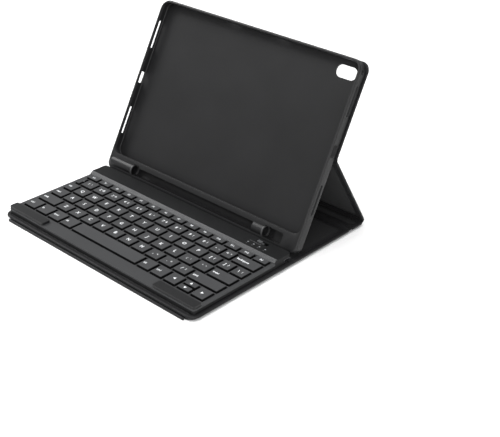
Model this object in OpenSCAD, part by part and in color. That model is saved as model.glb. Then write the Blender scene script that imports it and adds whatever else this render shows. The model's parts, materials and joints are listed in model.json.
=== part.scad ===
// Folding tablet case with a keyboard, standing open.
// X runs along the long side, Y from the front edge to the rear fold, Z up.
// The origin is the middle of the footprint, on the table.

/* [Cover] */
// width of the folding cover
cover_w = 262; // [240:1:290]
// thickness of one cover panel
panel_t = 2.4; // [1.8:0.1:3.2]
// thickness of the outer skin
skin_t = 0.7; // [0.4:0.1:1]
// thickness of the lining
lining_t = 0.7; // [0.4:0.1:1]
// how far the stiffening board stops short of a panel's edge
board_inset = 3; // [2:0.5:6]
// radius of a cover panel's outer corners
cover_r = 9; // [4:1:14]
// radius of the rear fold that stands on the table
rear_fold_r = 3.6; // [3:0.1:5]
// radius of the fold between base and spine
spine_fold_r = 2; // [1.5:0.1:3]

/* [Closing flap] */
// thickness of the flap
flap_t = 2; // [1.6:0.1:2.4]
// depth of the flap panel
flap_d = 48; // [36:1:60]
// width of the flap
flap_w = 256; // [200:1:262]

/* [Keyboard] */
// width of the keyboard body
kb_w = 255; // [240:1:262]
// distance from the cover's front edge to the keyboard's front edge
kb_y0 = 4; // [2:0.5:8]
// rear edge of the keyboard body
kb_y1 = 127; // [120:1:132]
// height of the deck around the keys above its cover
deck_h = 5.2; // [4:0.1:7]
// height of the raised rear block and the corner bars above their cover
block_h = 8.2; // [7:0.1:9]
// depth of the raised rear block
block_d = 18; // [14:1:24]
// distance between the left edges of two letter keys
key_pitch = 18.2; // [17:0.1:19.5]
// distance between two rows of keys
row_pitch = 15.4; // [14:0.1:18]
// gap between neighbouring key caps
key_gap = 1.7; // [1.4:0.1:2.5]
// how far a key goes down
key_travel = 1.4; // [1:0.1:1.8]

/* [Tray] */
// width of the tablet tray
tray_w = 258.5; // [245:0.5:275]
// height of the tray along the screen
tray_h = 185; // [175:1:195]
// thickness of the tray
tray_t = 11; // [9:0.5:13]
// radius of the tray's corners
tray_r = 11; // [6:1:16]
// width of the tablet it holds
tablet_w = 255.3; // [240:0.1:270]
// height of the tablet it holds
tablet_h = 166.3; // [155:0.1:175]
// thickness of the tablet it holds
tablet_t = 7.2; // [5.5:0.1:8.5]
// bore radius of the pen channel
pen_r = 4.9; // [4.5:0.1:5.5]

/* [Standing] */
// angle between the screen and the table
tilt = 62; // [58:1:70]
// front edge of the tray when it stands
tray_y = 128.5; // [128:0.5:140]
// height of the stand's fold along the tray
fold_v = 92; // [80:1:110]
// part to draw

/* [Hidden] */
$fn = 48;
eps = 0.01;
gap = 0.3;
flap_gap = 0.4;
z0 = flap_t + flap_gap;
z1 = z0 + panel_t;
board_t = panel_t - skin_t - lining_t;
axis_z = z0 + panel_t / 2;
kb_z = z1;
deck_z = z1 + deck_h;
block_z = z1 + block_h;
closed_rim = block_z + gap;
closed_fold = closed_rim + tray_t + gap + panel_t / 2;
spine_l = closed_fold - axis_z;
end_gap = rear_fold_r + 0.4;
stand_l = fold_v + end_gap;
// tray corner and stand fold in the side view
tray_z = z1 + gap + tray_t * cos(tilt);
fold_n = tray_t + gap + panel_t / 2;
fold_y = tray_y + fold_v * cos(tilt) + fold_n * sin(tilt);
fold_z = tray_z + fold_v * sin(tilt) - fold_n * cos(tilt);
rear_y = fold_y + sqrt(pow(stand_l, 2) - pow(fold_z - axis_z, 2));
spine_y = rear_y - spine_l;
stand_a = atan2(fold_z - axis_z, fold_y - rear_y);
// closing flap
flap_axis_y = -1.6;
flap_axis_z = flap_t / 2;
flap_axis_gap = 1.6;
strip_l = closed_fold + panel_t / 2 + gap + flap_t / 2 - flap_axis_z;
flap_hinge_y = flap_axis_y + strip_l;
// middle of the footprint
mid_y = (rear_y + rear_fold_r + flap_axis_y - flap_t / 2) / 2;
// keyboard details
row_w = 248;
key_top = deck_z + 1.9;
key_foot = deck_z - 1.6;
rows_y = kb_y0 + 13.4;
low_y = rows_y + 17.2;
function_y = low_y + 4 * row_pitch - 0.3;
block_y = kb_y1 - block_d;
well = 0.35;
unit_function = [for (i = [0:13]) 1];
unit_number = [0.46, 1, 1, 1, 1, 1, 1, 1, 1, 1, 1, 0.77, 0.77, 1.63];
unit_top = [0.82, 1, 1, 1, 1, 1, 1, 1, 1, 1, 1, 1, 0.92, 0.92];
unit_home = [1, 1, 1, 1, 1, 1, 1, 1, 1, 1, 1, 1, 1.63];
unit_low = [1.5, 1, 1, 1, 1, 1, 1, 1, 1, 1, 1, 2.13];
unit_bottom = [1, 1, 1, 1, 5, 0.93, 0.93, 0.93, 0.93, 0.93];
// screws, magnets, catches
screw_r = 1.1;
screws = [for (x = [-1, 0, 1], y = [kb_y0 + 6, kb_y1 - 5]) [x * (kb_w / 2 - 9), y]];
magnet_r = 5;
slider_x = 97.5;
slider_y = kb_y1 - 5;
light_x = 86;
light_y = kb_y1 - 12;
// tray details
back_t = 1.8;
lip = 1.3;
pocket_w = tablet_w + 0.7;
pocket_h = tablet_h + 0.5;
pocket_v = tray_h - 1.5 - pocket_h;
pocket_n = -tray_t + back_t;
pen_v = 8.2;
pen_n = -4.4;
pen_wall = 1.3;
pen_x = [-111, -93, 75, 88, 111];
foot_v = 1.9;
foot_n = -9.1;
foot_r = 1.1;
camera_x = 110;
camera_v = tray_h - 14;

// ---- placing ----

// the row frame, from a frame whose Y starts at the cover's front edge
module placed() { translate([0, -mid_y, 0]) children(); }

// the standing tray's own frame: X across, Y up the screen, Z out of the screen
module on_tray() {
  placed() translate([0, tray_y, tray_z]) rotate([tilt, 0, 0]) children();
}

// the stand's own frame: Y from the rear fold up to the stand's fold
module on_stand() {
  placed() translate([0, rear_y, axis_z]) rotate([stand_a, 0, 0]) children();
}

// ---- shapes ----

// a box centred in X, from y to y + d and from z to z + h
module slab(w, d, h, y = 0, z = 0, x = 0) {
  translate([x - w / 2, y, z]) cube([w, d, h]);
}

// a round bar along X
module bar(r, w, y, z, x = 0) {
  translate([x - w / 2, y, z]) rotate([0, 90, 0]) cylinder(r = r, h = w);
}

// a plate with round corners, centred in X; front and back give the corner radii
module plate(w, d, h, y = 0, z = 0, front = 0, back = 0) {
  translate([0, y, z]) linear_extrude(h) plate_2d(w, d, front, back);
}

module plate_2d(w, d, front, back) {
  for (s = [-1, 1]) {
    if (front > 0) translate([s * (w / 2 - front), front]) circle(front);
    if (back > 0) translate([s * (w / 2 - back), d - back]) circle(back);
  }
  translate([-w / 2, front]) square([w, d - front - back]);
  if (front > 0) translate([-w / 2 + front, 0]) square([w - 2 * front, front + eps]);
  if (back > 0) translate([-w / 2 + back, d - back - eps]) square([w - 2 * back, back + eps]);
}

// the ring of a panel around its board
module panel_board_space(w, d, y, front = 0, back = 0) {
  plate(w - 2 * board_inset, d - 2 * board_inset, board_t, y + board_inset, 0,
    max(front - board_inset, 0), max(back - board_inset, 0));
}

// one skin of a panel; it carries half of the closed edge around the board
module panel_skin(w, d, y, z, front = 0, back = 0) {
  difference() {
    plate(w, d, skin_t + board_t, y, z, front, back);
    translate([0, 0, z + skin_t]) scale([1, 1, 2]) panel_board_space(w, d, y, front, back);
  }
}

// ---- keys ----

function sum(v, n) = n == 0 ? 0 : v[n - 1] + sum(v, n - 1);
function unit(v) = row_w / sum(v, len(v));
function key_x(v, i) = -row_w / 2 + sum(v, i) * unit(v);
function key_width(v, i) = v[i] * unit(v);

// a key cap in the cell that starts at x, y; grow widens it to its well
module cell(x, y, w, d, grow, low, high) {
  translate([x + key_gap / 2 - grow, y + key_gap / 2 - grow, low])
    cube([w - key_gap + 2 * grow, d - key_gap + 2 * grow, high - low]);
}

// a cap: a skirt, and a slightly smaller raised top
module cap(x, y, w, d) {
  cell(x, y, w, d, 0, key_foot, key_top - 0.6);
  cell(x, y, w, d, -0.45, key_top - 0.6 - eps, key_top);
}

module caps(v, y, d, from, to) {
  for (i = [from:to]) cap(key_x(v, i), y, key_width(v, i), d);
}

module wells(v, y, d, from = 0) {
  for (i = [from:len(v) - 1])
    cell(key_x(v, i), y, key_width(v, i), d, well, kb_z, key_top + 1);
}

// ---- base ----

module cover_skin() {
  color("#18191b") placed()
    difference() {
      panel_skin(cover_w, spine_y - 2.6, 0, z0, cover_r, 0);
      for (x = [-1, 1], y = [14, 60])
        translate([x * 96, y, z0 + skin_t]) cylinder(r = magnet_r, h = board_t + eps);
    }
}

module cover_board() {
  color("#8c8577") placed()
    difference() {
      translate([0, 0, z0 + skin_t])
        panel_board_space(cover_w, spine_y - 2.6, 0, cover_r, 0);
      for (x = [-1, 1], y = [14, 60])
        translate([x * 96, y, z0]) cylinder(r = magnet_r + 0.05, h = panel_t);
    }
}

module cover_lining() {
  color("#232427") placed()
    plate(cover_w, spine_y - 2.6, lining_t, 0, z0 + skin_t + board_t, cover_r, 0);
}

// the flexible front edge that the closing flap turns on
module front_fold() {
  color("#18191b") placed() {
    bar(flap_t / 2, flap_w - 8, flap_axis_y, flap_axis_z);
    slab(flap_w - 8, 4, flap_gap - 0.05, flap_axis_y, flap_t + 0.05);
    slab(flap_w - 8, 0.3, 0.6, flap_axis_y - 0.15, flap_t - 0.5);
  }
}

module spine_fold() {
  color("#18191b") placed() {
    bar(spine_fold_r, cover_w, spine_y, axis_z);
    slab(cover_w, 1.4, panel_t, spine_y - 2.6, z0);
  }
}

module holding_magnets() {
  color("#a9adb2") placed()
    for (x = [-1, 1], y = [14, 60])
      translate([x * 96, y, z0 + skin_t]) cylinder(r = magnet_r, h = board_t - 0.02);
}

// ---- keyboard ----

module keyboard_tub() {
  color("#26282b") placed() difference() {
    plate(kb_w, kb_y1 - kb_y0, deck_z - kb_z - 1.6, kb_y0, kb_z, 3, 3);
    plate(kb_w - 5, kb_y1 - kb_y0 - 5, 10, kb_y0 + 2.5, kb_z + 0.9, 1, 1);
    for (s = screws) translate([s[0], s[1], kb_z - 1]) cylinder(r = screw_r, h = 4);
    socket_space();
  }
}

module socket_space() {
  translate([kb_w / 2 - 8, slider_y - 4.6, kb_z + 1.1]) cube([9, 9.2, 3.2]);
}

module keyboard_deck() {
  color("#2b2d30") placed() difference() {
    plate(kb_w, block_y - 3.4 - kb_y0, 1.6, kb_y0, deck_z - 1.6, 3, 0);
    wells(unit_function, function_y, 9.8);
    wells(unit_number, low_y + 3 * row_pitch, row_pitch);
    wells(unit_top, low_y + 2 * row_pitch, row_pitch);
    wells(unit_home, low_y + row_pitch, row_pitch);
    wells(unit_low, low_y, row_pitch);
    wells(unit_bottom, rows_y, 17.2);
  }
}

// the raised pads at the two front corners that keep the screen off the keys
module corner_bars() {
  color("#1d1e20") placed() for (s = [-1, 1])
    plate_at(s * (kb_w / 2 - 26), 51, 9.5, kb_y0 + 0.6, deck_z, block_z - 0.5);
}

module plate_at(x, w, d, y, low, high) {
  translate([x, 0, 0]) plate(w, d, high - low, y, low, 1.6, 1.6);
}

// the raised rear block with its sloping front face
module rear_block() {
  color("#1f2123") placed() difference() {
    union() {
      plate(kb_w, block_d, block_z - deck_z + 1.6, block_y, deck_z - 1.6, 0, 3);
      translate([-kb_w / 2, 0, 0]) rotate([90, 0, 90]) linear_extrude(kb_w)
        polygon([[block_y - 3.4, deck_z - 1.6], [block_y + eps, deck_z - 1.6],
          [block_y + eps, block_z], [block_y - 3.4, deck_z + 0.4]]);
    }
    for (i = [0:3]) translate([light_x + 7 * i, light_y, 0]) cylinder(r = 0.8, h = 30);
    // the switch slot and the room under it
    slab(14, 4, 30, slider_y - 2, 0, slider_x);
    slab(18, 7, block_z - 1.2 - deck_z + 3, slider_y - 3.5, deck_z - 3, slider_x);
    socket_space();
  }
}

module key_plate() {
  color("#9ea3a8") placed() difference() {
    slab(kb_w - 6, kb_y1 - kb_y0 - 26, 0.6, kb_y0 + 3, kb_z + 0.95);
    for (s = screws) translate([s[0], s[1], 0]) cylinder(r = screw_r + 1.2, h = 30);
  }
}

module dome_sheet() {
  color("#c9c7bd") placed() difference() {
    slab(kb_w - 8, kb_y1 - kb_y0 - 28, 0.35, kb_y0 + 4, kb_z + 1.57);
    for (s = screws) translate([s[0], s[1], 0]) cylinder(r = screw_r + 1.2, h = 30);
  }
}

module circuit_board() {
  color("#2e5a3c") placed()
    slab(70, 13, 0.8, block_y + 2, kb_z + 1.0, 78);
}

module battery() {
  color("#b7bcc2") placed()
    slab(96, 12, 2.4, block_y + 2.5, kb_z + 1.0, -60);
}

// an oval metal shell around a tongue
module usb_c_socket() {
  color("#b9bdc1") placed() translate([kb_w / 2 - 7.6, slider_y, kb_z + 2.7]) rotate([90, 0, 90]) {
    linear_extrude(7.4) difference() {
      oval(8.7, 3);
      oval(8.1, 2.4);
    }
    linear_extrude(1) oval(8.7, 3);
    translate([-3.3, -0.35, 0.5]) cube([6.6, 0.7, 5.6]);
  }
}

module oval(w, h) {
  for (s = [-1, 1]) translate([s * (w - h) / 2, 0]) circle(h / 2);
  square([w - h, h], center = true);
}

module status_lights() {
  color("#dfe6ea") placed() for (i = [0:3])
    translate([light_x + 7 * i, light_y, block_z - 2]) cylinder(r = 0.78, h = 1.95);
}

module keyboard_screws() {
  color("#8f9499") placed() for (s = screws)
    translate([s[0], s[1], kb_z + 0.1]) cylinder(r = screw_r - 0.02, h = 3);
}

module power_slider() {
  color("#3a3d41") placed() {
    slab(5, 3, 1.9, slider_y - 1.5, block_z - 1.4, slider_x - 3.4);
    slab(8, 5.6, 0.9, slider_y - 2.8, block_z - 2.3, slider_x - 3.4);
  }
}

module keys_function() { color("#27292c") placed() caps(unit_function, function_y, 9.8, 1, 13); }
module keys_number() { color("#27292c") placed() caps(unit_number, low_y + 3 * row_pitch, row_pitch, 0, 12); }
module keys_letter_top() { color("#27292c") placed() caps(unit_top, low_y + 2 * row_pitch, row_pitch, 1, 13); }
module keys_letter_home() { color("#27292c") placed() caps(unit_home, low_y + row_pitch, row_pitch, 1, 11); }
module keys_letter_low() { color("#27292c") placed() caps(unit_low, low_y, row_pitch, 1, 10); }
module keys_bottom() {
  color("#27292c") placed() {
    caps(unit_bottom, rows_y, 17.2, 0, 3);
    caps(unit_bottom, rows_y, 17.2, 5, 6);
  }
}
module key_escape() { color("#27292c") placed() caps(unit_function, function_y, 9.8, 0, 0); }
module key_backspace() { color("#27292c") placed() caps(unit_number, low_y + 3 * row_pitch, row_pitch, 13, 13); }
module key_tab() { color("#27292c") placed() caps(unit_top, low_y + 2 * row_pitch, row_pitch, 0, 0); }
module key_caps() { color("#27292c") placed() caps(unit_home, low_y + row_pitch, row_pitch, 0, 0); }
module key_enter() { color("#27292c") placed() caps(unit_home, low_y + row_pitch, row_pitch, 12, 12); }
module key_shift_left() { color("#27292c") placed() caps(unit_low, low_y, row_pitch, 0, 0); }
module key_shift_right() { color("#27292c") placed() caps(unit_low, low_y, row_pitch, 11, 11); }
module key_space() { color("#27292c") placed() caps(unit_bottom, rows_y, 17.2, 4, 4); }
module key_left() { color("#27292c") placed() caps(unit_bottom, rows_y, 17.2, 7, 7); }
module key_up() { color("#27292c") placed() arrow_cap(8.6 - 0.35); }
module key_down() { color("#27292c") placed() arrow_cap(0); }
module key_right() { color("#27292c") placed() caps(unit_bottom, rows_y, 17.2, 9, 9); }

// one of the two half-depth keys that share a cell
module arrow_cap(y) {
  cap(key_x(unit_bottom, 8), rows_y + y, key_width(unit_bottom, 8), 8.95);
}

// ---- spine ----

module spine_skin() {
  color("#18191b") placed()
    panel_skin(cover_w, spine_l - 7, spine_y + 2.6, z0);
}

module spine_board() {
  color("#8c8577") placed() translate([0, 0, z0 + skin_t])
    panel_board_space(cover_w, spine_l - 7, spine_y + 2.6);
}

module spine_lining() {
  color("#232427") placed()
    plate(cover_w, spine_l - 7, lining_t, spine_y + 2.6, z0 + skin_t + board_t);
}

module rear_fold() {
  color("#18191b") placed() {
    bar(rear_fold_r, cover_w, rear_y, axis_z);
    slab(cover_w, 1.4, panel_t, rear_y - 4.4, z0);
  }
}

// ---- stand ----

stand_d = stand_l - end_gap - 1.7;

module stand_skin() {
  color("#18191b") on_stand()
    panel_skin_up(cover_w, stand_d, end_gap);
}

module panel_skin_up(w, d, y) {
  mirror([0, 0, 1]) panel_skin(w, d, y, -panel_t / 2);
}

module stand_board() {
  color("#8c8577") on_stand() translate([0, 0, panel_t / 2 - skin_t - board_t])
    panel_board_space(cover_w, stand_d, end_gap);
}

module stand_lining() {
  color("#232427") on_stand()
    plate(cover_w, stand_d, lining_t, end_gap, -panel_t / 2);
}

// ---- tray ----

// steel rods in the tray's lower edge that the base's magnets hold
module foot_magnets() {
  color("#a9adb2") on_tray() for (s = [-1, 1]) bar(foot_r, 60, foot_v, foot_n, s * 62);
}

// windows in the short sides: their middle, and the sound windows' distance and length
window_v = 100;
sound_off = 47;
sound_l = 30;

// the tray in one piece; the modules after tray_zone are its zones
module tray_whole() {
  difference() {
    union() {
      plate(tray_w, tray_h, tray_t, 0, -tray_t, 8, tray_r);
      bar(pen_r + pen_wall, tray_w - 8, pen_v, pen_n);
    }
    // room for the tablet, and the screen opening in front of it
    plate(pocket_w, pocket_h, tablet_t + 0.2, pocket_v, pocket_n, 8, 8);
    plate(pocket_w - 2 * lip, pocket_h - 2 * lip, 9, pocket_v + lip, pocket_n + tablet_t, 7, 7);
    // pen channel: closed at both ends, open in front between sleeve and loop
    bar(pen_r, pen_x[3] - pen_x[0] + eps, pen_v, pen_n, (pen_x[3] + pen_x[0]) / 2);
    slab(pen_x[2] - pen_x[1], 2 * pen_r - 1, 20, pen_v - pen_r + 0.5, pen_n, (pen_x[1] + pen_x[2]) / 2);
    slab(pen_x[4] - pen_x[3], 11, 20, pen_v - 5, pen_n - 2.6, (pen_x[3] + pen_x[4]) / 2);
    // rod bores in the lower edge
    for (s = [-1, 1]) bar(foot_r + 0.1, 60.4, foot_v, foot_n, s * 62);
    // button windows in the top edge
    for (x = [-38, 25]) slab(16, 12, 3.4, tray_h - 6, pocket_n + 2, x);
    // sound and socket windows in the short sides
    for (s = [-1, 1]) {
      slab(12, sound_l, 3, window_v + sound_off - sound_l / 2, pocket_n + 2.1, s * tray_w / 2);
      slab(12, 12, 6, window_v - 6, pocket_n + 0.7, s * tray_w / 2);
      slab(12, sound_l, 3, window_v - sound_off - sound_l / 2, pocket_n + 2.1, s * tray_w / 2);
    }
    // a round window near the top of the right side
    bar(2.2, 12, window_v + 75, pocket_n + 3.6, tray_w / 2);
    camera_window(0);
  }
}

// the tray between heights v0 and v1 up the screen, n0 and n1 out of it, and x0 and x1 across
module tray_zone(v0, v1, n0, n1, x0 = -cover_w, x1 = cover_w) {
  color("#1b1c1e") on_tray() intersection() {
    tray_whole();
    slab(x1 - x0, v1 - v0, n1 - n0, v0, n0, (x0 + x1) / 2);
  }
}

// the corners at the pocket's foot are a zone of their own
rim_low_d = 12;

module tray_back() { tray_zone(pocket_v, tray_h + 1, -tray_t - 1, pocket_n); }
module tray_rim_left() { tray_zone(pocket_v + rim_low_d, tray_h + 1, pocket_n, 5, x1 = 0); }
module tray_rim_right() { tray_zone(pocket_v + rim_low_d, tray_h + 1, pocket_n, 5, x0 = 0); }
module tray_rim_low() { tray_zone(pocket_v, pocket_v + rim_low_d, pocket_n, 5); }
module tray_foot() { tray_zone(-1, pocket_v, -tray_t - 1, 5, x0 = pen_x[1]); }
module pen_sleeve() { tray_zone(-1, pocket_v, -tray_t - 1, 5, x1 = pen_x[1]); }

module camera_window(grow) {
  translate([camera_x, camera_v, -tray_t - 10]) linear_extrude(14)
    oval(24 + 2 * grow, 12 + 2 * grow);
}

// the upper panel has no lining: its board is glued to the tray's back
upper_d = tray_h - fold_v - 1.6;
upper_n = -tray_t - skin_t - board_t;

// the outer skin is the side away from the screen
module upper_skin() {
  color("#18191b") on_tray() difference() {
    panel_skin(cover_w, upper_d, fold_v + 1.6, upper_n, 0, cover_r);
    camera_window(1);
  }
}

module upper_board() {
  color("#8c8577") on_tray() difference() {
    translate([0, 0, upper_n + skin_t])
      panel_board_space(cover_w, upper_d, fold_v + 1.6, 0, cover_r);
    camera_window(2);
  }
}

module stand_fold() {
  color("#18191b") on_tray() bar(panel_t / 2, cover_w, fold_v, -fold_n);
}

// ---- closing flap ----

module strip_skin() {
  color("#18191b") placed() difference() {
    slab(flap_w, strip_l - flap_axis_gap - 1.2, flap_t, flap_axis_y + flap_axis_gap);
    slab(flap_w - 8, strip_l - flap_axis_gap - 9.2, flap_t - 1.2, flap_axis_y + flap_axis_gap + 4, 0.6);
  }
}

module strip_board() {
  color("#8c8577") placed()
    slab(flap_w - 8.2, strip_l - flap_axis_gap - 9.4, flap_t - 1.3, flap_axis_y + flap_axis_gap + 4.1, 0.65);
}

module strip_fold() {
  color("#18191b") placed() {
    bar(flap_t / 2, flap_w, flap_hinge_y, flap_axis_z);
    slab(flap_w, 1, flap_t, flap_hinge_y - 1.2);
  }
}

module flap_skin() {
  color("#18191b") placed() difference() {
    plate(flap_w, flap_d - 1.4, flap_t, flap_hinge_y + 1.4, 0, 0, 7);
    slab(flap_w - 16, flap_d - 14, flap_t - 1.2, flap_hinge_y + 6, 0.6);
  }
}

module flap_board() {
  color("#8c8577") placed() difference() {
    slab(flap_w - 16.2, flap_d - 14.2, flap_t - 1.3, flap_hinge_y + 6.1, 0.65);
    for (x = [-90, -30, 30, 90])
      translate([x, flap_hinge_y + 24, -1]) cylinder(r = magnet_r + 0.05, h = 4);
  }
}

module flap_magnets() {
  color("#a9adb2") placed() for (x = [-90, -30, 30, 90])
    translate([x, flap_hinge_y + 24, 0.65]) cylinder(r = magnet_r, h = flap_t - 1.3);
}

cover_skin();
cover_board();
cover_lining();
front_fold();
spine_fold();
holding_magnets();
keyboard_tub();
keyboard_deck();
corner_bars();
rear_block();
key_plate();
dome_sheet();
circuit_board();
battery();
usb_c_socket();
status_lights();
keyboard_screws();
power_slider();
keys_function();
keys_number();
keys_letter_top();
keys_letter_home();
keys_letter_low();
keys_bottom();
key_escape();
key_backspace();
key_tab();
key_caps();
key_enter();
key_shift_left();
key_shift_right();
key_space();
key_left();
key_up();
key_down();
key_right();
spine_skin();
spine_board();
spine_lining();
rear_fold();
stand_skin();
stand_board();
stand_lining();
foot_magnets();
tray_back();
tray_rim_left();
tray_rim_right();
tray_rim_low();
tray_foot();
pen_sleeve();
upper_skin();
upper_board();
stand_fold();
strip_skin();
strip_board();
strip_fold();
flap_skin();
flap_board();
flap_magnets();
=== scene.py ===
"""The looks of a folding tablet keyboard case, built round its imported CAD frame.

Everything is in metres in the row's frame: X along the case, Y from the front edge to the back, Z up.
"""

import json
import math

import bmesh
import bpy
import numpy as np
from mathutils import Matrix, Vector


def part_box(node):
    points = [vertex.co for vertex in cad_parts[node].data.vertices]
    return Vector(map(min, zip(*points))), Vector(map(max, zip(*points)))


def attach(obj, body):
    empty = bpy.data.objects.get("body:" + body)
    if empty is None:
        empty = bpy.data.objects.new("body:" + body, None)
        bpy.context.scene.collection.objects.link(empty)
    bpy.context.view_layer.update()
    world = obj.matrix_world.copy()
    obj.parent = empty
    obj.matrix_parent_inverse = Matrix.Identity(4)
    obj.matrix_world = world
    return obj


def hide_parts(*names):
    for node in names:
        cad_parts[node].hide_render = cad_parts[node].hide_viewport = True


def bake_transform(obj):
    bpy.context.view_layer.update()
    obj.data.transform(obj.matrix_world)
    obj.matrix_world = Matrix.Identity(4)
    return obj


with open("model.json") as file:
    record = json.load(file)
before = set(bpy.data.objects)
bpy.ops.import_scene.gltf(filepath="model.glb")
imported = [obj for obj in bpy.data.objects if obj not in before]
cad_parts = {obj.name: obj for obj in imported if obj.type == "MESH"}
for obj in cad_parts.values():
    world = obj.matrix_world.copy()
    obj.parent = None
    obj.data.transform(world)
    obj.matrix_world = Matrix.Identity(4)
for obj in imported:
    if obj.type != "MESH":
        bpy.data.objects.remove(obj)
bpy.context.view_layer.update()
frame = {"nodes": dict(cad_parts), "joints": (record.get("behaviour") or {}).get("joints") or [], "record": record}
nodes = frame["nodes"]
MM = 0.001


# ---- places, read from the frame ----

joints = {j["name"]: j for j in frame["joints"]}
mounts = {m["name"]: m for m in frame["record"]["mounts"]}


def corners(*names):
    """The box round several CAD nodes."""
    boxes = [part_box(n) for n in names]
    low = Vector([min(b[0][i] for b in boxes) for i in range(3)])
    high = Vector([max(b[1][i] for b in boxes) for i in range(3)])
    return low, high


def axes_at(origin, up):
    """A local frame whose Y runs along up, in the YZ plane, with its origin there."""
    x = Vector((1, 0, 0))
    y = Vector(up).normalized()
    z = x.cross(y)
    m = Matrix((x, y, z)).transposed().to_4x4()
    m.translation = Vector(origin)
    return m


def local_span(m, *names):
    """The lowest and highest corner of CAD nodes, in a local frame."""
    inverse = m.inverted()
    co = np.array([inverse @ v.co for n in names for v in nodes[n].data.vertices])
    return Vector(co.min(0)), Vector(co.max(0))


# the screen's frame: Y up the screen, Z out of it, origin at the rim's front plane and lower edge
screen_normal = Vector(mounts["tablet_back_face"]["axis"])
screen_up = screen_normal.cross(Vector((1, 0, 0)))
tray_axes = axes_at(mounts["tablet_back_face"]["pos_m"], screen_up)
low, high = local_span(tray_axes, "tray_rim_left", "tray_rim_right", "tray_back")
foot_low = local_span(tray_axes, "tray_foot")[0]
tray_axes = tray_axes @ Matrix.Translation((0, foot_low.y, high.z))
tray_low, tray_high = local_span(tray_axes, "tray_back", "tray_rim_left", "tray_rim_right")
floor_n = local_span(tray_axes, "tray_back")[1].z
pocket_v = local_span(tray_axes, "tray_rim_low")[0].y
tray_w = tray_high.x - tray_low.x
tray_t = -tray_low.z

stand_hinge = Vector(joints["stand_turn"]["pos_m"])
spine_hinge = Vector(joints["spine_turn"]["pos_m"])
rear_low, rear_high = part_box("rear_fold")
rear_r = rear_high.z / 2
rear_axis = Vector((0, rear_high.y - rear_r, rear_r))
stand_axes = axes_at(rear_axis, stand_hinge - rear_axis)

base_low, base_high = corners("cover_skin", "cover_lining")
block_low, block_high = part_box("rear_block")


# ---- small mesh tools ----


def new_object(name, bm, materials, smooth=40):
    """An object from a bmesh, shaded smooth up to an angle in degrees."""
    bmesh.ops.recalc_face_normals(bm, faces=bm.faces)
    for f in bm.faces:
        f.smooth = smooth > 0
    for e in bm.edges:
        e.smooth = len(e.link_faces) == 2 and e.calc_face_angle(0) < math.radians(smooth)
    mesh = bpy.data.meshes.new(name)
    bm.to_mesh(mesh)
    bm.free()
    for m in materials:
        mesh.materials.append(m)
    o = bpy.data.objects.new(name, mesh)
    bpy.context.scene.collection.objects.link(o)
    return o


def apply_modifiers(o):
    """Bakes an object's modifiers into its mesh."""
    bpy.context.view_layer.update()
    mesh = bpy.data.meshes.new_from_object(
        o.evaluated_get(bpy.context.evaluated_depsgraph_get())
    )
    o.modifiers.clear()
    o.data = mesh
    return o


def round_outline(w, y0, y1, r0, r1, inset=0.0, steps=10):
    """A rectangle with round corners, centred in X, drawn in by inset. r0 rounds the corners at y0, r1 those at y1."""
    points = []
    hw = w / 2 - inset
    a, b = y0 + inset, y1 - inset
    for cx, cy, r, start in (
        (1, a, r0, -90),
        (1, b, r1, 0),
        (-1, b, r1, 90),
        (-1, a, r0, 180),
    ):
        r = min(max(r - inset, 0.25 * MM), hw * 0.95, (b - a) * 0.48)
        mx = cx * (hw - r)
        my = cy + r if cy == a else cy - r
        for i in range(steps + 1):
            t = math.radians(start + 90 * i / steps)
            points.append((mx + r * math.cos(t), my + r * math.sin(t)))
    return points


def loft(bm, loops, cap_start=True, cap_end=True, material=0):
    """Faces between closed loops of the same length, each a list of 3D points."""
    rings = [[bm.verts.new(p) for p in loop] for loop in loops]
    made = []
    for a, b in zip(rings, rings[1:]):
        for i in range(len(a)):
            j = (i + 1) % len(a)
            made.append(bm.faces.new((a[i], a[j], b[j], b[i])))
    if cap_start:
        made.append(bm.faces.new(list(reversed(rings[0]))))
    if cap_end:
        made.append(bm.faces.new(rings[-1]))
    for f in made:
        f.material_index = material
    return rings


def arc(cx, cy, r, start, end, steps=5):
    """Points on an arc in 2D, angles in degrees."""
    return [
        (
            cx + r * math.cos(math.radians(start + (end - start) * i / steps)),
            cy + r * math.sin(math.radians(start + (end - start) * i / steps)),
        )
        for i in range(steps + 1)
    ]


SEAM_ROUND = 5 * MM


def panel_profile(t, edge, seam, groove, seam_top=True, seam_bottom=True):
    """A padded panel's section as (inset, height) pairs, from the middle of the bottom round the edge to the top's."""
    half = 0.55 * MM
    side = []
    if seam_bottom:
        side += [(seam + 4 * half, 0), (seam + half, 0.03 * MM), (seam, groove), (seam - half, 0.03 * MM)]
    side += arc(edge, edge, edge, -90, -180, 4)
    side += arc(edge, t - edge, edge, 180, 90, 4)
    if seam_top:
        side += [(seam - half, t - 0.03 * MM), (seam, t - groove), (seam + half, t - 0.03 * MM), (seam + 4 * half, t)]
    return side


def panel(name, m, w, y0, y1, z0, t, r0, r1, materials, lined=None, seam=4.2 * MM, seams=(True, True)):
    """A leather panel over a board, in the local frame m, with pressed seam lines along its edges.

    lined is the height side, 0 or 1, that has the second material inside its seam.
    """
    bm = bmesh.new()
    profile = panel_profile(t, min(0.48 * t, 1.1 * MM), seam, 0.32 * MM, seams[1], seams[0])
    loops = []
    for inset, h in profile:
        least = SEAM_ROUND + inset if inset > 0.7 * seam else 0
        outline = round_outline(w, y0, y1, max(r0, least), max(r1, least), inset)
        loops.append([(x, y, z0 + h) for x, y in outline])
    rings = loft(bm, loops)
    if lined is not None:
        middle = rings[-1] if lined else rings[0]
        for f in bm.faces:
            if all(v in middle for v in f.verts):
                f.material_index = 1
    bmesh.ops.transform(bm, matrix=m, verts=bm.verts)
    return new_object(name, bm, materials)


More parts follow.
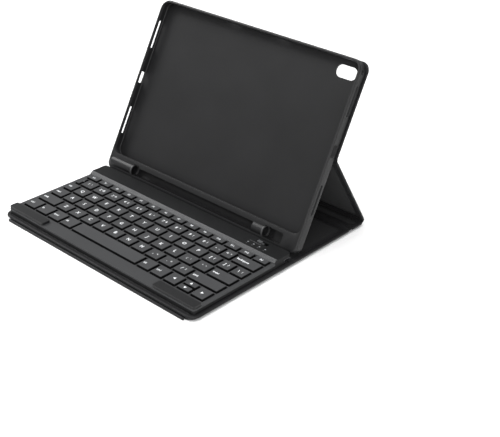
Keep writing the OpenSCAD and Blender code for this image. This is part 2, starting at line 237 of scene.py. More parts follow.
def bead(name, m, w, y, z, r, materials, squeeze=1.0, steps=20):
    """A round roll of leather along X with soft ends."""
    bm = bmesh.new()
    loops = []
    for x, k in ((0, 0.55), (0.12, 0.86), (0.5, 0.98), (1, 1)):
        loops.append((-w / 2 + x * r, k))
    loops += [(-x, k) for x, k in reversed(loops)]
    loft(
        bm,
        [
            [
                (x, y + r * k * math.cos(t), z + r * k * squeeze * math.sin(t))
                for t in (2 * math.pi * i / steps for i in range(steps))
            ]
            for x, k in loops
        ],
    )
    bmesh.ops.transform(bm, matrix=m, verts=bm.verts)
    return new_object(name, bm, materials, smooth=60)


def strip_along(name, path, w, t, materials, across=24):
    """A flexible strip w wide along X and t thick, whose middle follows a path of (y, z) points."""
    bm = bmesh.new()
    path = [Vector(p) for p in path]
    loops = []
    for i, p in enumerate(path):
        along = (path[min(i + 1, len(path) - 1)] - path[max(i - 1, 0)]).normalized()
        out = Vector((-along.y, along.x))
        section = []
        for side, edge in ((1, 1), (-1, -1)):
            for k in range(across + 1):
                x = (k / across - 0.5) * w * edge
                end = min(1.0, (w / 2 - abs(x)) / (0.5 * t))
                h = side * t / 2 * math.sqrt(max(0.0, 1 - (1 - end) ** 2))
                section.append((x, p.x + out.x * h, p.y + out.y * h))
        loops.append(section)
    loft(bm, loops)
    bmesh.ops.remove_doubles(bm, verts=bm.verts, dist=1e-7)
    return new_object(name, bm, materials, smooth=60)


def islands(name):
    """The box of each separate solid in a CAD node, from left to right."""
    mesh = nodes[name].data
    bm = bmesh.new()
    bm.from_mesh(mesh)
    bmesh.ops.remove_doubles(bm, verts=bm.verts, dist=1e-6)
    left, found = set(bm.verts), []
    while left:
        stack, group = [left.pop()], []
        while stack:
            v = stack.pop()
            group.append(v.co.copy())
            for e in v.link_edges:
                other = e.other_vert(v)
                if other in left:
                    left.remove(other)
                    stack.append(other)
        co = np.array(group)
        found.append((Vector(co.min(0)), Vector(co.max(0))))
    bm.free()
    return sorted(found, key=lambda b: (round(b[0].x, 4), b[0].y))


# ---- materials ----


def material(name, color, rough, metallic=0.0, specular=0.5, coat=0.0, coat_rough=0.3, sheen=0.0):
    """A Principled material, and its node tree to add detail to."""
    m = bpy.data.materials.new(name)
    m.use_nodes = True
    tree = m.node_tree
    shader = next(n for n in tree.nodes if n.type == "BSDF_PRINCIPLED")
    shader.inputs["Base Color"].default_value = (*color, 1)
    shader.inputs["Roughness"].default_value = rough
    shader.inputs["Metallic"].default_value = metallic
    shader.inputs["Specular IOR Level"].default_value = specular
    shader.inputs["Coat Weight"].default_value = coat
    shader.inputs["Coat Roughness"].default_value = coat_rough
    if sheen:
        shader.inputs["Sheen Weight"].default_value = sheen
        shader.inputs["Sheen Roughness"].default_value = 0.45
    return m, tree, shader


def add(tree, kind, **values):
    """A new node, with its properties or inputs set by name."""
    n = tree.nodes.new(kind)
    for key, value in values.items():
        if hasattr(n, key):
            setattr(n, key, value)
        else:
            n.inputs[key.replace("_", " ")].default_value = value
    return n


def object_coordinates(tree, stretch=(1, 1, 1)):
    """Coordinates in metres in the row's frame, stretched per axis."""
    coord = tree.nodes.new("ShaderNodeTexCoord")
    mapping = tree.nodes.new("ShaderNodeMapping")
    mapping.inputs["Scale"].default_value = stretch
    tree.links.new(coord.outputs["Object"], mapping.inputs["Vector"])
    return mapping.outputs["Vector"]


def spread(tree, source, low, high):
    """A map of a 0..1 value to the range low..high."""
    n = tree.nodes.new("ShaderNodeMapRange")
    n.inputs["To Min"].default_value = low
    n.inputs["To Max"].default_value = high
    tree.links.new(source, n.inputs["Value"])
    return n.outputs["Result"]


def tint(tree, source, shader, dark, light):
    """Colour that varies from dark to light with a 0..1 value."""
    mix = tree.nodes.new("ShaderNodeMix")
    mix.data_type = "RGBA"
    mix.inputs["A"].default_value = (*dark, 1)
    mix.inputs["B"].default_value = (*light, 1)
    tree.links.new(source, mix.inputs["Factor"])
    tree.links.new(mix.outputs["Result"], shader.inputs["Base Color"])


def bump(tree, shader, height, strength, distance, normal=None):
    """Adds a bump from a height, on top of another bump's normal."""
    n = tree.nodes.new("ShaderNodeBump")
    n.inputs["Strength"].default_value = strength
    n.inputs["Distance"].default_value = distance
    tree.links.new(height, n.inputs["Height"])
    if normal is not None:
        tree.links.new(normal, n.inputs["Normal"])
    tree.links.new(n.outputs["Normal"], shader.inputs["Normal"])
    return n.outputs["Normal"]


def leather(name, dark, light, rough=(0.42, 0.62)):
    """Fine-grained synthetic leather: small uneven cells, slow waves, and a little wear."""
    m, tree, shader = material(name, dark, 0.5, specular=0.17, sheen=0.02)
    at = object_coordinates(tree)
    cells = add(tree, "ShaderNodeTexVoronoi", feature="SMOOTH_F1", Scale=1500.0, Smoothness=0.55)
    warp = add(tree, "ShaderNodeTexNoise", Scale=420.0, Detail=3.0)
    waves = add(tree, "ShaderNodeTexNoise", Scale=28.0, Detail=4.0, Roughness=0.55)
    for n in (cells, warp, waves):
        tree.links.new(at, n.inputs["Vector"])
    first = bump(tree, shader, cells.outputs["Distance"], 0.55, 0.00022)
    second = bump(tree, shader, warp.outputs["Fac"], 0.35, 0.00025, first)
    bump(tree, shader, waves.outputs["Fac"], 0.25, 0.0012, second)
    tint(tree, waves.outputs["Fac"], shader, dark, light)
    tree.links.new(spread(tree, warp.outputs["Fac"], *rough), shader.inputs["Roughness"])
    return m


def microfibre(name, dark, light):
    """A short brushed nap."""
    m, tree, shader = material(name, dark, 0.92, specular=0.1, sheen=0.08)
    at = object_coordinates(tree, (1.0, 0.35, 1.0))
    nap = add(tree, "ShaderNodeTexNoise", Scale=2600.0, Detail=4.0, Roughness=0.7)
    cloud = add(tree, "ShaderNodeTexNoise", Scale=45.0, Detail=3.0)
    for n in (nap, cloud):
        tree.links.new(at, n.inputs["Vector"])
    bump(tree, shader, nap.outputs["Fac"], 0.5, 0.0003)
    tint(tree, cloud.outputs["Fac"], shader, dark, light)
    return m


def moulded(name, dark, light, rough, grain=2400.0, strength=0.25, specular=0.5, coat=0.0):
    """Moulded plastic or rubber with a fine spark-eroded texture."""
    m, tree, shader = material(name, dark, sum(rough) / 2, specular=specular, coat=coat)
    at = object_coordinates(tree)
    fine = add(tree, "ShaderNodeTexNoise", Scale=grain, Detail=2.0, Roughness=0.6)
    slow = add(tree, "ShaderNodeTexNoise", Scale=22.0, Detail=3.0)
    for n in (fine, slow):
        tree.links.new(at, n.inputs["Vector"])
    bump(tree, shader, fine.outputs["Fac"], strength, 0.00012)
    tint(tree, slow.outputs["Fac"], shader, dark, light)
    tree.links.new(spread(tree, slow.outputs["Fac"], *rough), shader.inputs["Roughness"])
    return m


def metal(name, color, rough, along=(40.0, 900.0, 900.0)):
    """Steel or foil with drawn lines along X."""
    m, tree, shader = material(name, color, rough, metallic=1.0)
    at = object_coordinates(tree, along)
    lines = add(tree, "ShaderNodeTexNoise", Scale=6.0, Detail=4.0)
    tree.links.new(at, lines.inputs["Vector"])
    tree.links.new(spread(tree, lines.outputs["Fac"], rough * 0.7, rough * 1.4), shader.inputs["Roughness"])
    bump(tree, shader, lines.outputs["Fac"], 0.15, 0.0001)
    return m


cover_leather = leather("cover_leather", (0.0062, 0.0062, 0.0067), (0.0105, 0.0105, 0.0112))
edge_leather = leather("edge_leather", (0.0085, 0.0085, 0.009), (0.014, 0.014, 0.0147), (0.36, 0.55))
lining = microfibre("lining_microfibre", (0.0065, 0.0065, 0.007), (0.0105, 0.0105, 0.0112))
tray_tpu = moulded("tray_tpu", (0.0068, 0.0068, 0.0072), (0.0098, 0.0098, 0.0104), (0.4, 0.5), 1800.0, 0.2, 0.3)
# painted highlight: a paler copy of the tray's TPU for the rim round the pen channel's open ends
rim_highlight_tpu = moulded("rim_highlight_tpu", (0.034, 0.034, 0.035), (0.044, 0.044, 0.045), (0.36, 0.46), 1800.0, 0.15, 0.35)
deck_plastic = moulded(
    "deck_plastic", (0.0275, 0.0282, 0.0295), (0.0345, 0.0352, 0.0365), (0.46, 0.56), 2200.0, 0.22, 0.24,
)
# painted highlight: a lighter copy of the block's dark plastic, for the lit slope and its ridges
slope_highlight_plastic = moulded("slope_highlight_plastic", (0.040, 0.041, 0.043), (0.050, 0.051, 0.053), (0.4, 0.5), 2200.0, 0.15, 0.35)
block_plastic = moulded(
    "block_plastic", (0.0048, 0.005, 0.0053), (0.0068, 0.007, 0.0074), (0.44, 0.54), 2200.0, 0.18, 0.14,
)
bar_plastic = moulded("bar_plastic", (0.0078, 0.008, 0.0084), (0.0108, 0.011, 0.0115), (0.34, 0.44), 2200.0, 0.18, 0.25)
key_plastic = moulded(
    "key_plastic", (0.0315, 0.0322, 0.0338), (0.0385, 0.0392, 0.041), (0.44, 0.56), 2600.0, 0.28, 0.28,
)
# painted shade: the key side walls are the same plastic as the tops, coloured near-black for the shade on them
key_side_painted_shade = moulded("key_side_painted_shade", (0.0018, 0.0018, 0.0019), (0.0028, 0.0028, 0.0029), (0.7, 0.8), 2600.0, 0.2, 0.04)
# painted shade: the plate seen between the keys is coloured near-black and matte to stand for the shade in the key gaps
well_plastic = moulded(
    "well_plastic", (0.0010, 0.0010, 0.0010), (0.0016, 0.0016, 0.0016), (0.8, 0.9), 2200.0, 0.2, 0.02,
)
dim_ink = moulded("dim_ink", (0.10, 0.10, 0.105), (0.13, 0.13, 0.135), (0.5, 0.6), 3000.0, 0.1, 0.3)
legend_ink = moulded("legend_ink", (0.72, 0.74, 0.76), (0.82, 0.84, 0.86), (0.5, 0.6), 3000.0, 0.1, 0.4)
stiffener = moulded("stiffener_board", (0.28, 0.25, 0.21), (0.36, 0.33, 0.28), (0.8, 0.9), 900.0, 0.4, 0.2)
steel = metal("plate_steel", (0.55, 0.56, 0.58), 0.35)
socket_steel = metal("socket_steel", (0.16, 0.16, 0.17), 0.35)
foil = metal("battery_foil", (0.72, 0.72, 0.74), 0.42, (120.0, 120.0, 400.0))
screw_steel = metal("screw_steel", (0.35, 0.35, 0.37), 0.33)
silicone = moulded("dome_silicone", (0.55, 0.55, 0.5), (0.62, 0.62, 0.57), (0.5, 0.6), 1200.0, 0.2, 0.4)
circuit_green = moulded("circuit_green", (0.02, 0.11, 0.05), (0.03, 0.15, 0.07), (0.35, 0.45), 700.0, 0.3, 0.5)
light_pipe = moulded("light_pipe", (0.20, 0.21, 0.22), (0.26, 0.27, 0.28), (0.15, 0.22), 900.0, 0.05, 0.6, 0.4)
knob_plastic = moulded("knob_plastic", (0.055, 0.057, 0.06), (0.07, 0.072, 0.075), (0.35, 0.45), 2200.0, 0.15, 0.5)

FINISH = {
    "cover_leather": cover_leather,
    "stiffener": stiffener,
    "lining": lining,
    "magnet": steel,
    "keyboard_plastic": deck_plastic,
    "key_plastic": key_plastic,
    "plate_steel": steel,
    "dome_rubber": silicone,
    "board_green": circuit_green,
    "battery_foil": foil,
    "socket_steel": socket_steel,
    "light_pipe": light_pipe,
    "screw_steel": screw_steel,
    "slider_plastic": knob_plastic,
    "tray_tpu": tray_tpu,
}
for part in frame["record"]["subparts"]:
    mesh = nodes[part["node"]].data
    mesh.materials.clear()
    mesh.materials.append(FINISH[part["material_slot"]])


def finish_node(name, mat=None, edge=0.3 * MM, segments=2):
    """A CAD node that stays: its material, and rounded edges."""
    o = nodes[name]
    if mat is not None:
        o.data.materials.clear()
        o.data.materials.append(mat)
    for f in o.data.polygons:
        f.use_smooth = False
    flat = o.modifiers.new("flat", "DECIMATE")
    flat.decimate_type = "DISSOLVE"
    flat.angle_limit = math.radians(1)
    if edge:
        b = o.modifiers.new("edges", "BEVEL")
        b.width = edge
        b.segments = segments
        b.limit_method = "ANGLE"
        b.angle_limit = math.radians(35)
        b.harden_normals = False
    return o


# ---- the folding cover ----

IDENTITY = Matrix.Identity(4)
panel_t = base_high.z - base_low.z
cover_r = 9 * MM

front_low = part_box("front_fold")[0]
front_y = front_low.y + 2.1 * MM
base_cover = panel(
    "base_cover", IDENTITY, base_high.x - base_low.x, front_y, base_high.y, base_low.z,
    panel_t, cover_r, 0.6 * MM, [cover_leather, lining], lined=1,
)
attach(base_cover, "base")
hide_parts("cover_skin", "cover_lining")

front_r = 1.15 * MM
front_w = base_high.x - base_low.x - 2 * cover_r - 2 * MM
front_edge = bead("front_edge", IDENTITY, front_w, front_low.y + front_r, front_r, front_r, [edge_leather])
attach(front_edge, "base")
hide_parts("front_fold")

spine_low, spine_high = corners("spine_skin", "spine_lining")
turn_gap = 3.2 * MM
turn_round = 2.4 * MM  # the corners where the cover turns up into the stand
spine_panel = panel(
    "spine_panel", IDENTITY, spine_high.x - spine_low.x, spine_low.y, rear_axis.y - turn_gap, spine_low.z,
    panel_t, 0.6 * MM, turn_round, [cover_leather, lining], lined=1, seam=2.6 * MM,
)
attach(spine_panel, "spine")
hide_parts("spine_skin", "spine_lining")

# the soft turn from the spine up into the stand, bent half way between its standing and its closed angle
stand_dir = (stand_hinge - rear_axis).normalized()
standing_angle = math.atan2(stand_dir.z, -stand_dir.y)
turn_angle = 0.35 * standing_angle + 0.65 * math.pi / 2
bend_r = 2.2 * MM
tangent = bend_r / math.tan(turn_angle / 2)
turn_path = [(rear_axis.y - 5.2 * MM, rear_axis.z), (rear_axis.y - tangent - 0.4 * MM, rear_axis.z)]
for k in range(13):
    t = -math.pi / 2 + (math.pi - turn_angle) * k / 12
    turn_path.append((rear_axis.y - tangent + bend_r * math.cos(t), rear_axis.z + bend_r + bend_r * math.sin(t)))
for d in (tangent + 0.1 * MM, tangent + 0.2 * MM):
    turn_path.append((rear_axis.y - d * math.cos(turn_angle), rear_axis.z + d * math.sin(turn_angle)))
turn_w = rear_high.x - rear_low.x - turn_round
rear_roll = strip_along("rear_roll", turn_path, turn_w, panel_t * 0.94, [edge_leather])
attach(rear_roll, "spine")
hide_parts("rear_fold")

# the flexible fold between the base and the spine
reach = 3.6 * MM
fold_path = [
    (spine_hinge.y + s * reach, spine_hinge.z + 0.5 * MM * math.cos(s * math.pi / 2))
    for s in np.linspace(-1, 1, 13)
]
fold_w = base_high.x - base_low.x - 0.4 * MM
spine_fold = strip_along("spine_fold_strip", fold_path, fold_w, panel_t * 0.92, [edge_leather])
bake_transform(spine_fold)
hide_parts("spine_fold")

# the stand
stand_low, stand_high = local_span(stand_axes, "stand_skin", "stand_lining")
stand_panel = panel(
    "stand_panel", stand_axes, stand_high.x - stand_low.x, turn_gap, stand_high.y, stand_low.z,
    panel_t, turn_round, 0.6 * MM, [cover_leather, lining], lined=1,
)
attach(stand_panel, "stand")
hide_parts("stand_skin", "stand_lining")

# the upper panel on the tray's back
upper_low, upper_high = local_span(tray_axes, "upper_skin")
upper_panel = panel(
    "upper_panel", tray_axes, upper_high.x - upper_low.x, upper_low.y, upper_high.y, upper_low.z,
    upper_high.z - upper_low.z, 0.6 * MM, cover_r, [cover_leather], seams=(True, False),
)

# the fold where the stand turns: from the upper panel's plane to the stand's
up_point = stand_hinge + screen_up * 4.2 * MM
down_point = stand_hinge - stand_dir * 4.2 * MM
fold_path = []
for s in np.linspace(0, 1, 17):
    p = up_point * (1 - s) ** 2 + stand_hinge * 2 * s * (1 - s) + down_point * s ** 2
    fold_path.append((p.y, p.z))
fold_w = upper_high.x - upper_low.x - 0.4 * MM
stand_fold = strip_along("stand_fold_strip", fold_path, fold_w, panel_t * 0.9, [edge_leather])
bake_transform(stand_fold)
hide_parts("stand_fold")

# the closing flap, folded under the base
strip_low, strip_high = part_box("strip_skin")
flap_strip = panel(
    "flap_strip", IDENTITY, strip_high.x - strip_low.x, front_y + 0.4 * MM, strip_high.y, strip_low.z,
    strip_high.z - strip_low.z, cover_r, 0.6 * MM, [cover_leather], seam=2.6 * MM,
)
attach(flap_strip, "flap_strip")
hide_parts("strip_skin")
flap_hinge = Vector(joints["flap_turn"]["pos_m"])
flap_roll = bead(
    "flap_roll", IDENTITY, strip_high.x - strip_low.x, flap_hinge.y, flap_hinge.z, 1.0 * MM, [edge_leather],
)
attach(flap_roll, "flap_strip")
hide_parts("strip_fold")
flap_low, flap_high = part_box("flap_skin")
flap_panel = panel(
    "flap_panel", IDENTITY, flap_high.x - flap_low.x, flap_low.y, flap_high.y, flap_low.z,
    flap_high.z - flap_low.z, 0.6 * MM, 7 * MM, [cover_leather],
)
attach(flap_panel, "flap")
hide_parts("flap_skin")


# ---- the tray ----


def cutter(name, bm, m=IDENTITY):
    """A closed mesh to cut with, in the local frame m."""
    bmesh.ops.transform(bm, matrix=m, verts=bm.verts)
    return new_object(name, bm, [], smooth=0)


def block_bm(x0, x1, y0, y1, z0, z1, r=0.0, axis="z", steps=6):
    """A box, with its corners rounded round one axis."""
    bm = bmesh.new()
    spans = {
        "x": ((y0, y1), (z0, z1), (x0, x1)),
        "y": ((z0, z1), (x0, x1), (y0, y1)),
        "z": ((x0, x1), (y0, y1), (z0, z1)),
    }
    (a0, a1), (b0, b1), (c0, c1) = spans[axis]
    ring = [(p[0] + (a0 + a1) / 2, p[1]) for p in round_outline(a1 - a0, b0, b1, r, r, 0, steps)]
    order = {"x": (2, 0, 1), "y": (1, 2, 0), "z": (0, 1, 2)}[axis]
    loft(bm, [[tuple((p[0], p[1], c)[k] for k in order) for p in ring] for c in (c0, c1)])
    return bm


def tube_bm(x0, x1, y, z, r, steps=40, soft=0.0):
    """A round bar along X, with its ends rounded off by soft."""
    bm = bmesh.new()
    ends = [(0, r)] if not soft else [(0, r - soft), (0.3 * soft, r - 0.3 * soft), (soft, r)]
    stations = [(x0 + d, k) for d, k in ends] + [(x1 - d, k) for d, k in reversed(ends)]
    loft(bm, [
        [(x, y + k * math.cos(t), z + k * math.sin(t)) for t in (2 * math.pi * i / steps for i in range(steps))]
        for x, k in stations
    ])
    return bm


def combine(o, other, operation):
    """A boolean of two objects, baked; the other is removed."""
    mod = o.modifiers.new("bool", "BOOLEAN")
    mod.operation = operation
    mod.object = other
    mod.solver = "EXACT"
    apply_modifiers(o)
    bpy.data.objects.remove(other)
    return o


# the rim and back, from the screen opening round the edge to the back
tray_h = tray_high.y
pocket_n = floor_n
lip_n = -2.0 * MM
opening = dict(w=tray_w - 5.1 * MM, y0=pocket_v + 1.3 * MM, y1=tray_h - 2.8 * MM)
outer = dict(w=tray_w, y0=0.0, y1=tray_h)


def tray_loop(which, inset, n, r0, r1):
    return [(x, y, n) for x, y in round_outline(which["w"], which["y0"], which["y1"], r0, r1, inset)]


shell = bmesh.new()
R0, R1 = 8 * MM, 11 * MM
pocket = dict(w=tray_w - 2.5 * MM, y0=pocket_v, y1=tray_h - 1.5 * MM)
loft(shell, [
    tray_loop(pocket, 6 * MM, pocket_n, 7 * MM, 7 * MM),
    tray_loop(pocket, 0.3 * MM, pocket_n, 8 * MM, 8 * MM),
    tray_loop(pocket, 0, pocket_n + 0.3 * MM, 8 * MM, 8 * MM),
    tray_loop(pocket, 0, lip_n - 0.2 * MM, 8 * MM, 8 * MM),
    tray_loop(opening, 0.15 * MM, lip_n, 7 * MM, 7 * MM),
    tray_loop(opening, -0.05 * MM, lip_n + 0.3 * MM, 7 * MM, 7 * MM),
    tray_loop(opening, -0.15 * MM, -0.7 * MM, 7.1 * MM, 7.1 * MM),
    tray_loop(opening, -0.45 * MM, -0.15 * MM, 7.4 * MM, 7.4 * MM),
    tray_loop(opening, -0.9 * MM, 0.0, 7.8 * MM, 7.8 * MM),
    tray_loop(outer, 0.95 * MM, -0.05 * MM, R0, R1),
    tray_loop(outer, 0.55 * MM, -0.35 * MM, R0, R1),
    tray_loop(outer, 0.3 * MM, -0.8 * MM, R0, R1),
    tray_loop(outer, 0.22 * MM, -2.2 * MM, R0, R1),
    tray_loop(outer, 0.42 * MM, -2.45 * MM, R0, R1),
    tray_loop(outer, 0.42 * MM, -2.75 * MM, R0, R1),
    tray_loop(outer, 0.04 * MM, -3.1 * MM, R0, R1),
    tray_loop(outer, 0.0, -6.0 * MM, R0, R1),
    tray_loop(outer, 0.12 * MM, -tray_t + 1.5 * MM, R0, R1),
    tray_loop(outer, 0.45 * MM, -tray_t + 0.7 * MM, R0, R1),
    tray_loop(outer, 1.0 * MM, -tray_t + 0.2 * MM, R0, R1),
    tray_loop(outer, 1.8 * MM, -tray_t, R0, R1),
])
tray = new_object("tray_shell", shell, [tray_tpu])


def carve(bm):
    """Cuts a closed mesh out of the tray."""
    combine(tray, cutter("c", bm), "DIFFERENCE")


# the pen channel: a sleeve at the left end, an open trough, a loop, a finger gap
pen_v, pen_n, pen_r = 8.2 * MM, -4.4 * MM, 4.9 * MM
SLEEVE_START, SLEEVE_END, LOOP_START, LOOP_END, GAP_END = -111 * MM, -93 * MM, 75 * MM, 88 * MM, 111 * MM
ABOVE = 12 * MM  # a height clear of the tray's front
combine(
    tray,
    cutter("u", tube_bm(-tray_w / 2 + 4 * MM, LOOP_END + 1.2 * MM, pen_v, pen_n, pen_r + 1.3 * MM, 48, 1.2 * MM)),
    "UNION",
)
carve(tube_bm(SLEEVE_START, LOOP_END + 0.2 * MM, pen_v, pen_n, pen_r, 48))
carve(block_bm(
    SLEEVE_END, LOOP_START, pen_v - pen_r + 0.5 * MM, pen_v + pen_r - 0.5 * MM, pen_n, ABOVE, 1.5 * MM,
))
carve(block_bm(LOOP_END, GAP_END, pen_v - 5 * MM, pen_v + 6 * MM, pen_n - 2.6 * MM, ABOVE, 2.2 * MM))
for x in (SLEEVE_END, LOOP_END):  # the deep notch that shows the whole end of the sleeve and of the loop
    carve(block_bm(x, x + 9 * MM, pen_v - 4.7 * MM, pen_v + 6.4 * MM, pen_n - 5.7 * MM, ABOVE, 2.2 * MM))

# the windows: buttons in the top edge, then sound and socket in each side, as (start, length, lowest, highest)
THROUGH = 6 * MM  # how far a cut reaches to each side of an edge
for x in (-38 * MM, 25 * MM):
    carve(block_bm(
        x - 8 * MM, x + 8 * MM, tray_h - THROUGH, tray_h + THROUGH,
        pocket_n + 2 * MM, pocket_n + 5.4 * MM, 1.6 * MM, "y",
    ))
SIDE_WINDOWS = ((132, 30, 2.1, 5.1), (94, 12, 0.7, 6.7), (38, 30, 2.1, 5.1))
for side in (-1, 1):
    for v, length, n0, n1 in SIDE_WINDOWS:
        x0, x1 = sorted((side * (tray_w / 2 - THROUGH), side * (tray_w / 2 + THROUGH)))
        carve(block_bm(
            x0, x1, v * MM, (v + length) * MM, pocket_n + n0 * MM, pocket_n + n1 * MM, 1.4 * MM, "x",
        ))
round_v, round_r = 175 * MM, 2.2 * MM
carve(tube_bm(tray_w / 2 - THROUGH, tray_w / 2 + THROUGH, round_v, pocket_n + 3.6 * MM, round_r, 32))


def camera_cut(grow):
    """The camera window's cutter, grown by a margin for the panel behind the tray."""
    at, v = 110 * MM, tray_h - 14 * MM
    half_w, half_h = 12 * MM + grow, 6 * MM + grow
    return block_bm(
        at - half_w, at + half_w, v - half_h, v + half_h,
        -tray_t - 10 * MM, pocket_n + 4 * MM, half_h, steps=12,
    )


carve(camera_cut(0))
combine(upper_panel, cutter("c", camera_cut(1 * MM), tray_axes), "DIFFERENCE")

# a ring round the sleeve's and the loop's open end, paler than the tray as a painted highlight on its rim, as (along,
# outward) millimetres from the bore
RING_SECTION = (
    (-0.7, -0.05), (-0.7, 1.4), (-0.5, 1.5), (0.2, 1.5), (0.55, 1.25), (0.65, 0.7), (0.4, 0.1), (-0.4, -0.05),
)
for x in (SLEEVE_END, LOOP_END):
    ring_bm = bmesh.new()
    loops = [
        [
            (x + a * MM, pen_v + (pen_r + r * MM) * math.cos(t), pen_n + (pen_r + r * MM) * math.sin(t))
            for a, r in RING_SECTION
        ]
        for t in (2 * math.pi * i / 48 for i in range(48))
    ]
    rings = loft(ring_bm, loops, False, False)
    for i in range(len(RING_SECTION)):
        j = (i + 1) % len(RING_SECTION)
        ring_bm.faces.new((rings[-1][i], rings[-1][j], rings[0][j], rings[0][i]))
    bmesh.ops.transform(ring_bm, matrix=tray_axes, verts=ring_bm.verts)
    ring = new_object("pen_ring_left" if x < 0 else "pen_ring_right", ring_bm, [rim_highlight_tpu], smooth=50)
    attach(ring, "tray")
tray.matrix_world = tray_axes
bpy.context.view_layer.update()
tray.data.transform(tray.matrix_world)
tray.matrix_world = IDENTITY
tray.data.materials.clear()
tray.data.materials.append(tray_tpu)
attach(tray, "tray")
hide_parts("tray_back", "tray_rim_left", "tray_rim_right", "tray_rim_low", "tray_foot", "pen_sleeve")
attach(upper_panel, "tray")
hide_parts("upper_skin")


# ---- the keyboard ----

finish_node("keyboard_tub", block_plastic, 0.5 * MM, 3)
finish_node("keyboard_deck", deck_plastic, 0.22 * MM)
finish_node("corner_bars", bar_plastic, 0.8 * MM, 3)
finish_node("rear_block", block_plastic, 0.7 * MM, 3)
finish_node("power_slider", knob_plastic, 0.25 * MM)
finish_node("key_plate", well_plastic, 0)
for name in ("usb_c_socket", "status_lights", "circuit_board", "battery", "keyboard_screws", "dome_sheet"):
    finish_node(name, None, 0)

CAP_ROUND = 1.5 * MM


def key_cap(bm, box):
    """A low key cap over its CAD box: round corners, a soft top edge and a shallow dish."""
    lo, hi = box
    w, cx = hi.x - lo.x, (hi.x + lo.x) / 2
    top = hi.z

    def ring(inset, z):
        return [(cx + x, y, z) for x, y in round_outline(w, lo.y, hi.y, CAP_ROUND, CAP_ROUND, inset, 5)]

    wall = [(0.1 * MM, lo.z), (0.3 * MM, top - 1.7 * MM), (0.76 * MM, top - 0.4 * MM)]
    crown = [
        (0.76 * MM, top - 0.4 * MM),
        (0.84 * MM, top - 0.2 * MM),
        (0.98 * MM, top - 0.05 * MM),
        (1.26 * MM, top),
        (2.0 * MM, top - 0.06 * MM),
        (3.0 * MM, top - 0.13 * MM),
    ]
    # the wall takes the second material, the painted shade on the key sides
    loft(bm, [ring(*p) for p in wall], cap_end=False, material=1)
    loft(bm, [ring(*p) for p in crown], cap_start=False)
    bmesh.ops.remove_doubles(bm, verts=bm.verts, dist=1e-7)


LEGENDS = {
    "key_escape": ["esc"],
    "keys_function": [f"F{i}" for i in range(1, 13)] + ["del"],
    "keys_number": list("`1234567890-="),
    "key_backspace": ["backspace"],
    "key_tab": ["tab"],
    "keys_letter_top": list("QWERTYUIOP[]\\"),
    "key_caps": ["caps"],
    "keys_letter_home": list("ASDFGHJKL;'"),
    "key_enter": ["enter"],
    "key_shift_left": ["shift"],
    "keys_letter_low": list("ZXCVBNM,./"),
    "key_shift_right": ["shift"],
    "keys_bottom": ["ctrl", "fn", "cmd", "alt", "alt", "ctrl"],
    "key_space": [""],
    "key_left": ["<"],
    "key_up": ["^"],
    "key_down": ["v"],
    "key_right": [">"],
}
SHIFTED = dict(zip("`1234567890-=[]\\;',./", "~!@#$%^&*()_+{}|:\"<>?"))
ARROWS = {"<": 180, ">": 0, "^": 90, "v": -90}


def add_text(bm, text, x, y, z, size, align="CENTER"):
    """Flat letters facing up, centred in Y on y."""
    curve = bpy.data.curves.new("t", "FONT")
    curve.body, curve.size, curve.align_x, curve.align_y = text, size, align, "CENTER"
    curve.resolution_u = 2
    curve.offset = size * 0.012
    o = bpy.data.objects.new("t", curve)
    bpy.context.scene.collection.objects.link(o)
    bpy.context.view_layer.update()
    mesh = bpy.data.meshes.new_from_object(o.evaluated_get(bpy.context.evaluated_depsgraph_get()))
    mesh.transform(Matrix.Translation((x, y, z)))
    bm.from_mesh(mesh)
    bpy.data.meshes.remove(mesh)
    bpy.data.objects.remove(o)
    bpy.data.curves.remove(curve)


def add_arrow(bm, x, y, z, size, turn):
    """A small filled triangle that points along turn degrees."""
    points = [(size * 0.55, 0), (-size * 0.4, size * 0.5), (-size * 0.4, -size * 0.5)]
    a = math.radians(turn)
    bm.faces.new([
        bm.verts.new((x + px * math.cos(a) - py * math.sin(a), y + px * math.sin(a) + py * math.cos(a), z))
        for px, py in points
    ])


for name, labels in LEGENDS.items():
    boxes = islands(name)
    caps_bm, ink = bmesh.new(), bmesh.new()
    for box, label in zip(boxes, labels):
        key_cap(caps_bm, box)
        lo, hi = box
        cx, cy, z = (lo.x + hi.x) / 2, (lo.y + hi.y) / 2, hi.z - 0.045 * MM
        if label in ARROWS and name.startswith("key_"):
            add_arrow(ink, cx, cy, z, 2.9 * MM, ARROWS[label])
        elif name == "keys_function" or name == "key_escape":
            add_text(ink, label, cx, cy, z + 0.02 * MM, 3.1 * MM)
        elif len(label) > 1:
            add_text(ink, label, lo.x + 2.5 * MM, cy - 0.3 * MM, z, 3.5 * MM, "LEFT")
        elif label in SHIFTED:
            add_text(ink, label, cx - 1.8 * MM, cy - 0.2 * MM, z, 4.6 * MM)
            add_text(ink, SHIFTED[label], cx + 2.3 * MM, cy + 0.4 * MM, z, 3.4 * MM)
        elif label:
            add_text(ink, label, cx, cy, z, 5.3 * MM)
    cap = new_object("caps_" + name, caps_bm, [key_plastic, key_side_painted_shade], smooth=35)
    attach(cap, name)
    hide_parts(name)
    if ink.faces:
        printed = new_object("legends_" + name, ink, [legend_ink], smooth=0)
        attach(printed, name)
    else:
        ink.free()

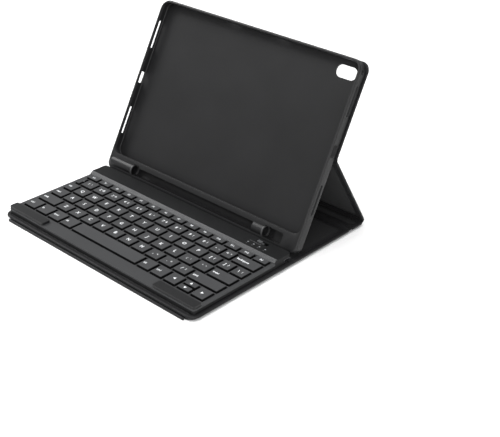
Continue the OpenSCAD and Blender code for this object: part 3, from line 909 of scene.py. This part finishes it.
# three fine ridges on the rear block's slope, in a paler copy of the block's plastic as a painted highlight
section = [(v.co.y, v.co.z) for v in nodes["rear_block"].data.vertices]
slope_foot = Vector((block_low.y, max(z for y, z in section if y < block_low.y + 0.1 * MM)))
slope_head = Vector((min(y for y, z in section if z > block_high.z - 0.05 * MM), block_high.z))
slope = slope_head - slope_foot
out = Vector((-slope.y, slope.x)).normalized()
ribs = [(0.0, -0.2), (0.02, 0.12)]
for k in (0.22, 0.5, 0.78):
    ribs += [(k - 0.075, 0.12), (k - 0.045, 0.42), (k + 0.045, 0.42), (k + 0.075, 0.12)]
ribs += [(0.98, 0.12), (1.0, -0.2)]
trim = bmesh.new()
trim_w = block_high.x - block_low.x - 2 * MM
loft(trim, [
    [(x, (slope_foot + slope * k + out * h * MM).x, (slope_foot + slope * k + out * h * MM).y) for k, h in ribs]
    for x in np.linspace(-trim_w / 2, trim_w / 2, 9)
])
slope_trim = new_object("slope_trim", trim, [slope_highlight_plastic], smooth=30)
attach(slope_trim, "base")

# marks by the status lights: a thin line behind them and a dash in front of each
marks = bmesh.new()


def mark(x0, x1, y0, y1, z):
    """A flat printed bar."""
    marks.faces.new([marks.verts.new(p) for p in ((x0, y0, z), (x1, y0, z), (x1, y1, z), (x0, y1, z))])


lamp_z = block_high.z + 0.03 * MM
lamps = islands("status_lights")
for lo, hi in lamps:
    mark(lo.x, hi.x, lo.y - 2.0 * MM, lo.y - 1.6 * MM, lamp_z)
mark(lamps[0][0].x, lamps[-1][1].x - 9 * MM, lamps[0][1].y + 2.2 * MM, lamps[0][1].y + 2.5 * MM, lamp_z)
lamp_marks = new_object("lamp_marks", marks, [dim_ink], smooth=0)
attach(lamp_marks, "base")

# grip lines on the power switch
knob_low, knob_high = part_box("power_slider")
grip = bmesh.new()
knob_x = (knob_low.x + knob_high.x) / 2
knob_y = (knob_low.y + knob_high.y) / 2
GRIP_SECTION = ((-0.2, -0.2), (-0.12, 0.12), (0.12, 0.12), (0.2, -0.2))
for k in range(-2, 3):
    x = knob_x + k * 0.8 * MM
    loft(grip, [
        [(x + a * MM, y, knob_high.z + h * MM) for a, h in GRIP_SECTION]
        for y in (knob_y - 1.1 * MM, knob_y + 1.1 * MM)
    ])
grip_lines = new_object("switch_grip", grip, [knob_plastic], smooth=0)
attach(grip_lines, "switch")


# ---- floor, light and camera ----

floor_bm = bmesh.new()
bmesh.ops.create_grid(floor_bm, x_segments=1, y_segments=1, size=6)
floor_mat, floor_tree, floor_shader = material("floor_paper", (0.86, 0.86, 0.86), 0.75, specular=0.2)
paper = add(floor_tree, "ShaderNodeTexNoise", Scale=60.0, Detail=3.0)
floor_tree.links.new(object_coordinates(floor_tree), paper.inputs["Vector"])
tint(floor_tree, paper.outputs["Fac"], floor_shader, (0.85, 0.85, 0.85), (0.88, 0.88, 0.88))
floor = new_object("floor", floor_bm, [floor_mat], smooth=0)
floor.location.z = -0.02 * MM

world = bpy.data.worlds.new("studio")
bpy.context.scene.world = world
world.use_nodes = True
world.node_tree.nodes["Background"].inputs["Color"].default_value = (1, 1, 1, 1)
world.node_tree.nodes["Background"].inputs["Strength"].default_value = 0.45


def soft_light(name, at, target, size, power):
    """A large soft panel that faces the target."""
    data = bpy.data.lights.new(name, "AREA")
    data.shape, data.size, data.energy = "DISK", size, power
    o = bpy.data.objects.new(name, data)
    bpy.context.scene.collection.objects.link(o)
    o.location = at
    o.rotation_euler = (Vector(target) - Vector(at)).to_track_quat("-Z", "Y").to_euler()
    return o


soft_light("key_light", (-1.15, -0.15, 1.1), (0, 0, 0.02), 0.6, 18)
soft_light("top_light", (0.3, -0.3, 1.9), (0, 0, 0), 2.2, 42)
soft_light("fill_light", (1.2, -1.0, 0.7), (0, 0, 0.05), 1.0, 16)

# the camera: where it looks, from where, and the framing
LOOK_AT = Vector((31.6, 38.8, 63.6)) * MM
AZIMUTH, ELEVATION, ROLL = 43.2, 26.0, -0.54
DISTANCE = 1.0376
LENS, SHIFT = 78.6, (0.028, -0.118)
azimuth, elevation = math.radians(AZIMUTH), math.radians(ELEVATION)
back = Vector((math.sin(azimuth) * math.cos(elevation), -math.cos(azimuth) * math.cos(elevation), math.sin(elevation)))
camera_data = bpy.data.cameras.new("camera")
camera = bpy.data.objects.new("camera", camera_data)
bpy.context.scene.collection.objects.link(camera)
camera_data.sensor_width, camera_data.lens = 36, LENS
camera_data.shift_x, camera_data.shift_y = SHIFT
camera.matrix_world = (
    Matrix.Translation(LOOK_AT + back * DISTANCE)
    @ back.to_track_quat("Z", "Y").to_matrix().to_4x4()
    @ Matrix.Rotation(-math.radians(ROLL), 4, "Z")
)
bpy.context.scene.camera = camera
bpy.context.scene.view_settings.view_transform = "Standard"

bpy.context.view_layer.update()
